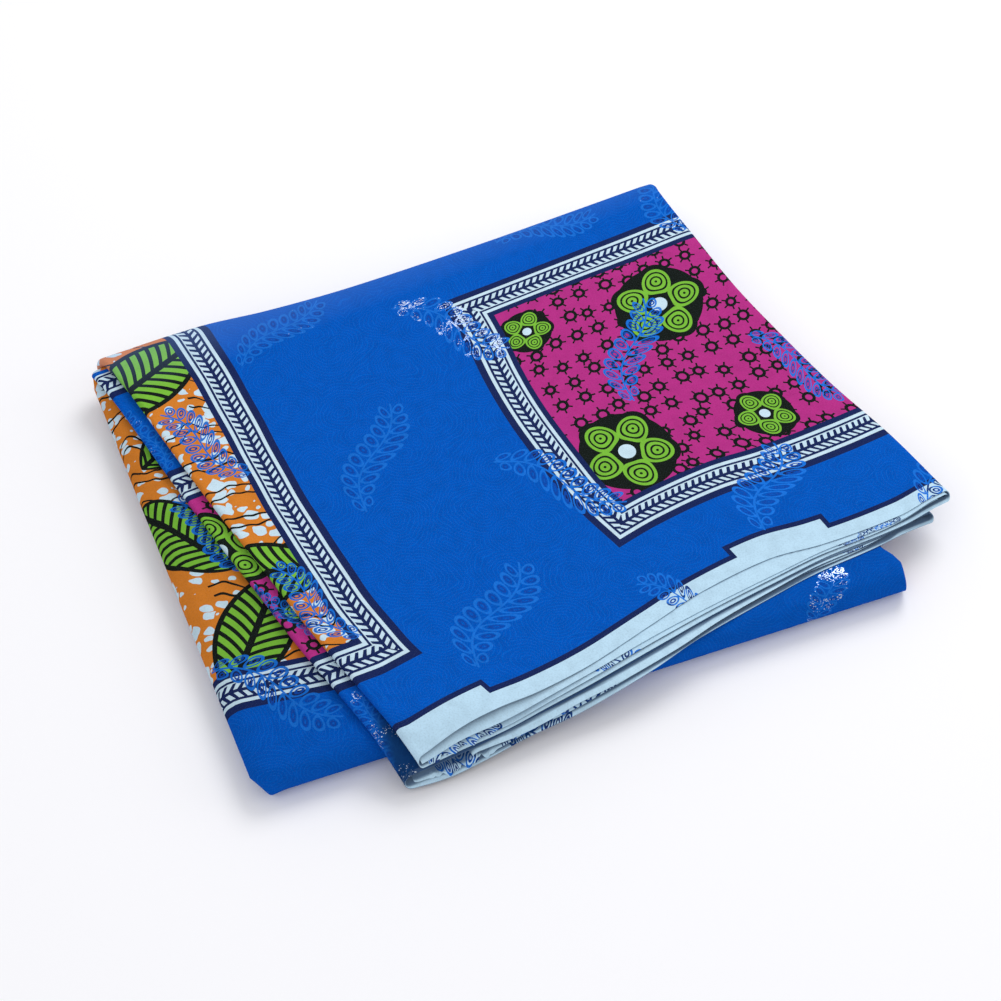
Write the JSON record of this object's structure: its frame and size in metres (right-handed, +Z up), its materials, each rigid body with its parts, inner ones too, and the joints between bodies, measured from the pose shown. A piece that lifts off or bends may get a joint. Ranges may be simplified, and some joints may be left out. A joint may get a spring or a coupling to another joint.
{
  "type": "folded wax print fabric",
  "caption": "Long cut of printed cotton folded flat for the shelf, a skewed flap on top with its selvedges fanned open at the front.",
  "frame": {"origin": "middle of the bounding box on the underside", "axes": "+Z up, the open selvedges face -Y, +X to the right as seen from the front"},
  "size_m": [0.4848, 0.4032, 0.0368],
  "materials": {
    "upper_print": "royal blue wax print cotton with orange and magenta panels, foil leaf sprigs, crisp calendered face",
    "lower_print": "the same print on the lower roll, base and tail",
    "selvedge": "pale blue bare selvedge with a navy line"
  },
  "bodies": {
    "root": {"upper_roll": "upper_print", "lower_roll": "lower_print", "upper_leaf_1": "selvedge", "upper_leaf_2": "selvedge", "lower_leaf_1": "selvedge", "lower_leaf_2": "selvedge", "tail_leaf_1": "selvedge", "tail_leaf_2": "selvedge", "tail_leaf_3": "selvedge", "tail_leaf_4": "selvedge"}
  },
  "joints": []
}
